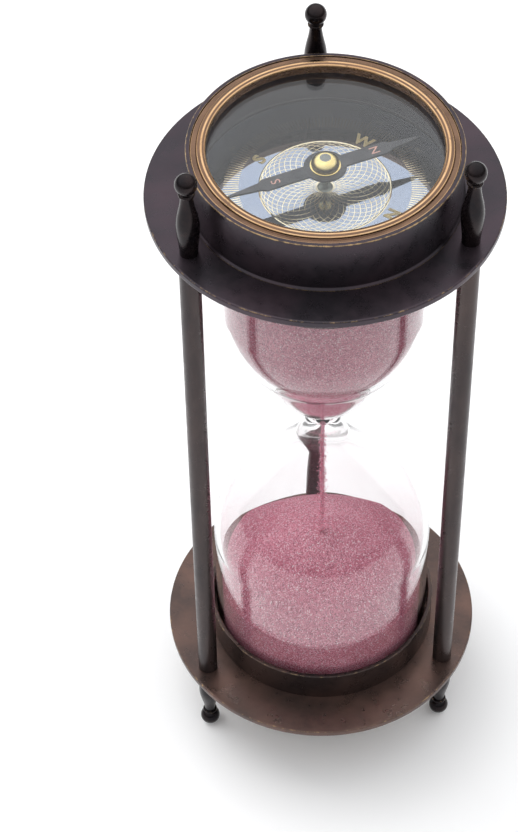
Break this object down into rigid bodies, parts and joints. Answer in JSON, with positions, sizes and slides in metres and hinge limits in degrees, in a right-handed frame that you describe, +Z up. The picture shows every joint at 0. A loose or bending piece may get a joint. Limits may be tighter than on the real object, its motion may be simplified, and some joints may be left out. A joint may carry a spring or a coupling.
{
  "type": "hourglass",
  "caption": "Sand timer on three posts between round plates, with a compass drum behind glass on each outer face and turned finials as feet.",
  "frame": {"origin": "middle of the footprint, on the surface that the three lower finials stand on", "axes": "+Z up along the axis of the glass; +Y towards the single back post; -Y is the front, between two posts"},
  "size_m": [0.066, 0.066, 0.165],
  "materials": {
    "dark_brass": "dark patina, satin, worn at the edges",
    "brown_brass": "brown patina, satin, worn at the edges",
    "post_brass": "dark patina, semi-gloss",
    "finial_brass": "dark patina, glossy ball",
    "liner_brass": "dull brass",
    "bezel_copper": "rubbed copper-coloured brass",
    "bright_brass": "polished",
    "dial_silver": "polished and engraved",
    "needle_steel": "blued, satin",
    "vessel_glass": "clear, glossy",
    "lens_glass": "clear, glossy",
    "cork": "matte granular",
    "sand": "fine glittering grains"
  },
  "bodies": {
    "frame": {"base_plate": "brown_brass", "top_plate": "dark_brass", "post_back": "post_brass", "post_left": "post_brass", "post_right": "post_brass", "foot_back": "finial_brass", "foot_left": "finial_brass", "foot_right": "finial_brass", "top_finial_back": "finial_brass", "top_finial_left": "finial_brass", "top_finial_right": "finial_brass", "glass_vessel": "vessel_glass", "bottom_collar": "brown_brass", "top_collar": "brown_brass", "bottom_pad": "cork", "top_pad": "cork", "sand_lower": "sand", "sand_stream": "sand", "sand_upper": "sand", "top_drum": "dark_brass", "top_spacer_ring": "liner_brass", "top_dial": "dial_silver", "top_pivot_pin": "bright_brass", "top_lens": "lens_glass", "top_bezel_ring": "bezel_copper", "bottom_drum": "dark_brass", "bottom_spacer_ring": "liner_brass", "bottom_dial": "dial_silver", "bottom_pivot_pin": "bright_brass", "bottom_lens": "lens_glass", "bottom_bezel_ring": "bezel_copper"},
    "top_needle": {"top_needle": "needle_steel", "top_needle_cap": "bright_brass"},
    "bottom_needle": {"bottom_needle": "needle_steel", "bottom_needle_cap": "bright_brass"}
  },
  "joints": [
    {"name": "top_needle_turn", "type": "hinge", "parent": "frame", "child": "top_needle", "pos_m": [0, 0, 0.1517], "axis": [0, 0, 1], "continuous": true},
    {"name": "bottom_needle_turn", "type": "hinge", "parent": "frame", "child": "bottom_needle", "pos_m": [0, 0, 0.0133], "axis": [0, 0, 1], "continuous": true}
  ]
}
